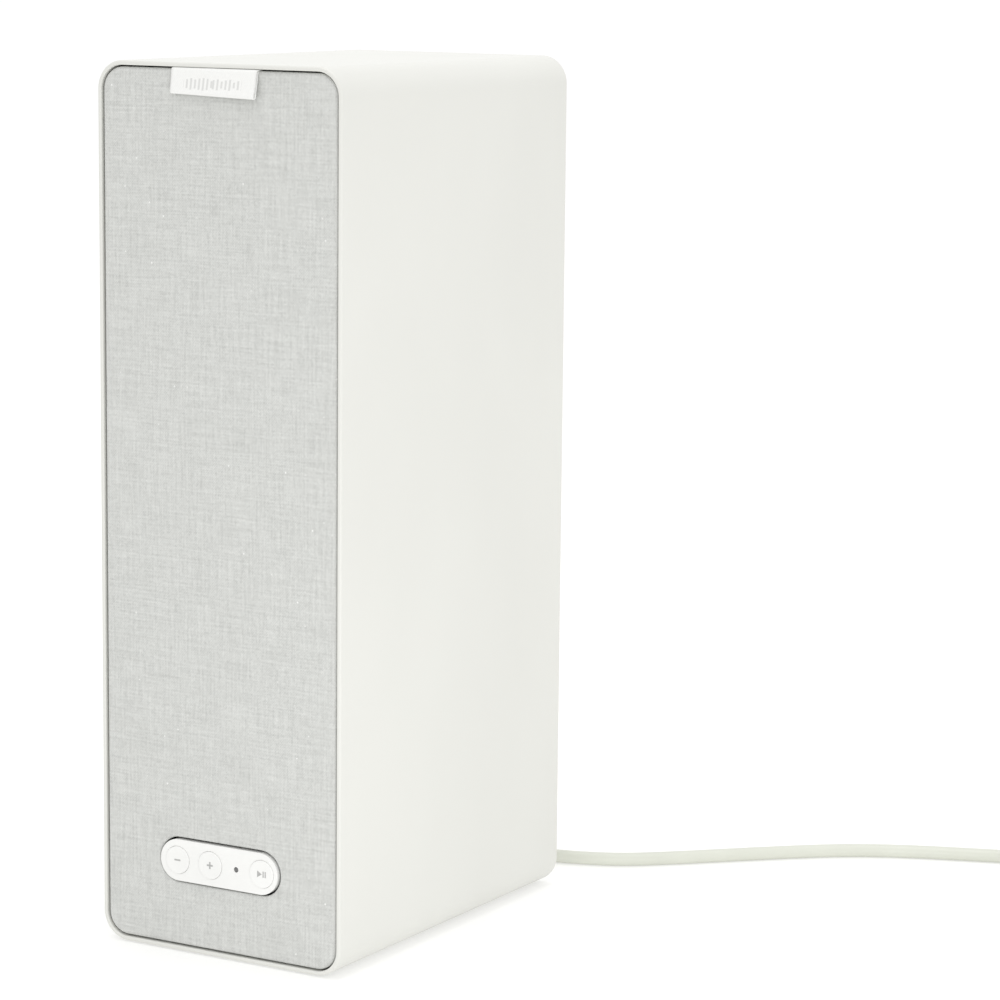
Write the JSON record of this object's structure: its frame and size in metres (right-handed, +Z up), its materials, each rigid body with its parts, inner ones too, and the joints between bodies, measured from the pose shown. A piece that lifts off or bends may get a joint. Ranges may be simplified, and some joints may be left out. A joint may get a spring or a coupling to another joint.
{
  "type": "smart speaker",
  "caption": "Upright bookshelf speaker in a white moulded sleeve, with a pull-off woven grille, a control pill, two drivers, a reflex port and a coiled mains lead.",
  "frame": {"origin": "bottom centre of the speaker's bounding box, on the surface that the feet stand on", "axes": "+X to the right seen from the grille, +Y from the grille to the back, +Z up"},
  "size_m": [0.3345, 0.2928, 0.31],
  "materials": {
    "shell_white": "moulded white, satin",
    "grille_cloth": "plain woven white and grey yarn",
    "tab_ribbon": "white woven ribbon",
    "gloss_white": "moulded white, semi-gloss",
    "black_plastic": "moulded black, fine texture",
    "rubber": "matte",
    "cone_paper": "pressed black pulp",
    "coil_amber": "amber film and resin-stiffened cloth",
    "zinc_steel": "zinc plated",
    "ferrite": "ground ferrite",
    "circuit_board": "green solder mask",
    "tin": "tin plated",
    "felt": "grey wadding and foam",
    "cord_white": "soft white vinyl",
    "smoked_lens": "smoked, polished"
  },
  "bodies": {
    "cabinet": {"cabinet_sleeve": "shell_white", "rear_panel": "shell_white", "control_bezel": "gloss_white", "front_baffle": "black_plastic", "bass_port": "black_plastic", "woofer_basket": "black_plastic", "tweeter_plate": "black_plastic", "mains_inlet": "black_plastic", "filter_capacitor": "black_plastic", "woofer_wire": "black_plastic", "tweeter_wire": "black_plastic", "button_wire": "black_plastic", "foot_1": "rubber", "foot_2": "rubber", "foot_3": "rubber", "foot_4": "rubber", "woofer_surround": "rubber", "woofer_spider": "coil_amber", "power_transformer": "coil_amber", "hanger_plate": "zinc_steel", "woofer_top_plate": "zinc_steel", "woofer_yoke": "zinc_steel", "rear_screw_1": "zinc_steel", "rear_screw_2": "zinc_steel", "rear_screw_3": "zinc_steel", "rear_screw_4": "zinc_steel", "baffle_screw_1": "zinc_steel", "baffle_screw_2": "zinc_steel", "baffle_screw_3": "zinc_steel", "baffle_screw_4": "zinc_steel", "woofer_screw_1": "zinc_steel", "woofer_screw_2": "zinc_steel", "woofer_screw_3": "zinc_steel", "woofer_screw_4": "zinc_steel", "woofer_magnet": "ferrite", "tweeter_motor": "ferrite", "main_board": "circuit_board", "power_board": "circuit_board", "control_board": "circuit_board", "antenna_left": "circuit_board", "antenna_right": "circuit_board", "ethernet_socket": "tin", "processor_shield": "tin", "baffle_seal": "felt", "acoustic_pad": "felt", "lead_connector": "cord_white", "power_cord": "cord_white", "power_cord_coil": "cord_white", "mains_plug": "cord_white", "status_lens": "smoked_lens"},
    "grille": {"grille_frame": "black_plastic", "grille_fabric": "grille_cloth", "pull_tab": "tab_ribbon"},
    "button_minus": {"button_minus": "gloss_white"},
    "button_plus": {"button_plus": "gloss_white"},
    "button_play": {"button_play": "gloss_white"},
    "woofer_diaphragm": {"woofer_cone": "cone_paper", "woofer_dust_cap": "cone_paper", "woofer_voice_coil": "coil_amber"},
    "tweeter_diaphragm": {"tweeter_dome": "cone_paper"}
  },
  "joints": [
    {"name": "grille_pull", "type": "slide", "parent": "cabinet", "child": "grille", "axis": [0, -1, 0], "range_m": [0, 0.025]},
    {"name": "minus_press", "type": "slide", "parent": "cabinet", "child": "button_minus", "axis": [0, 1, 0], "range_m": [0, 0.0006], "stiffness_N_per_m": 1000},
    {"name": "plus_press", "type": "slide", "parent": "cabinet", "child": "button_plus", "axis": [0, 1, 0], "range_m": [0, 0.0006], "stiffness_N_per_m": 1000},
    {"name": "play_press", "type": "slide", "parent": "cabinet", "child": "button_play", "axis": [0, 1, 0], "range_m": [0, 0.0006], "stiffness_N_per_m": 1000},
    {"name": "woofer_excursion", "type": "slide", "parent": "cabinet", "child": "woofer_diaphragm", "axis": [0, -1, 0], "range_m": [-0.003, 0.003], "stiffness_N_per_m": 1500, "deforming": ["woofer_surround", "woofer_spider"]},
    {"name": "tweeter_excursion", "type": "slide", "parent": "cabinet", "child": "tweeter_diaphragm", "axis": [0, -1, 0], "range_m": [-0.0003, 0.0003], "stiffness_N_per_m": 3000}
  ]
}
